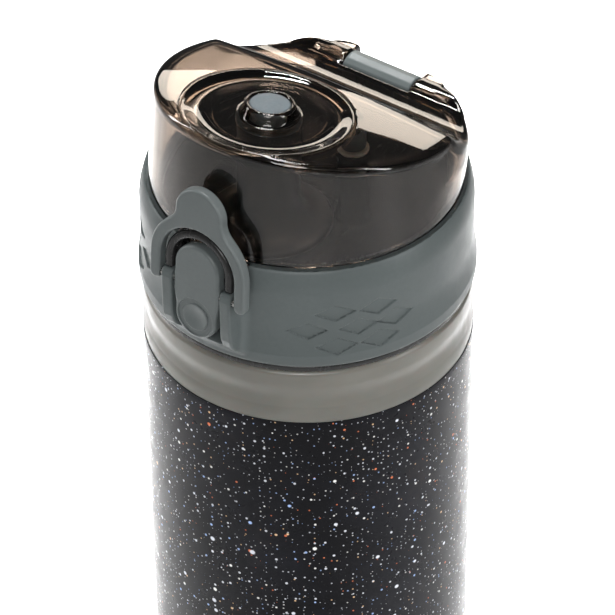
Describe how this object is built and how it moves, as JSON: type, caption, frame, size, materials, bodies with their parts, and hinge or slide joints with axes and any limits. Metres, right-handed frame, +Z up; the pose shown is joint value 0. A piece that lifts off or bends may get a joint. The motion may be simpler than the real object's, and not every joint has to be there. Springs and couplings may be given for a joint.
{
  "type": "kids water bottle",
  "caption": "Upright drinking bottle with a screw lid, smoked flip cover over a mouthpiece, rocker release button and swing-down safety ring.",
  "frame": {"origin": "centre of the flat base, on the plane that the bottle stands on", "axes": "+Z up along the bottle's axis, -Y towards the release button, +Y towards the cover's hinge"},
  "size_m": [0.0708, 0.0746, 0.1993],
  "materials": {
    "smoke_tritan": "smoky frosted co-polyester",
    "print": "near-black printed film with a star field, gloss",
    "clear_silicone": "translucent silicone, matt",
    "dark_pp": "dark grey polypropylene, satin",
    "grey_pp": "grey polypropylene with a blue-green cast, satin",
    "smoke_cover": "smoked clear co-polyester, high gloss",
    "grey_silicone": "bluish grey silicone, matt",
    "steel": "stainless wire and pins"
  },
  "bodies": {
    "bottle": {"bottle_body": "smoke_tritan", "print_film": "print"},
    "lid_seal": {"neck_gasket": "clear_silicone"},
    "lid": {"screw_cap": "dark_pp", "collar_shell": "grey_pp", "mouthpiece": "dark_pp", "mouthpiece_seal": "clear_silicone", "vent_valve": "clear_silicone", "hinge_pin": "steel", "hinge_spring": "steel", "button_spring": "steel", "latch_pin": "steel"},
    "cover": {"flip_cover": "smoke_cover", "spout_plug": "grey_silicone", "vent_plug": "grey_silicone"},
    "button": {"push_button": "grey_pp"},
    "safety_ring": {"lock_ring": "grey_pp"}
  },
  "joints": [
    {"name": "lid_lift", "type": "slide", "parent": "bottle", "child": "lid_seal", "axis": [0, 0, 1], "range_m": [0, 0.005]},
    {"name": "lid_turn", "type": "hinge", "parent": "lid_seal", "child": "lid", "pos_m": [0, 0, 0.15], "axis": [0, 0, 1], "range_deg": [0, 450]},
    {"name": "cover_hinge", "type": "hinge", "parent": "lid", "child": "cover", "pos_m": [0, 0.027, 0.1804], "axis": [-1, 0, 0], "range_deg": [0, 115], "deforming": ["hinge_spring"]},
    {"name": "button_press", "type": "hinge", "parent": "lid", "child": "button", "pos_m": [0, -0.03697, 0.1672], "axis": [1, 0, 0], "range_deg": [0, 7], "stiffness_Nm_per_rad": 0.02, "springref_deg": -5.73, "deforming": ["button_spring"]},
    {"name": "ring_swing", "type": "hinge", "parent": "lid", "child": "safety_ring", "pos_m": [0, -0.03697, 0.1672], "axis": [1, 0, 0], "range_deg": [0, 150]}
  ],
  "couplings": [
    {"joint": "lid_lift", "follows": "lid_turn", "m_per_rad": 0.00063662}
  ]
}
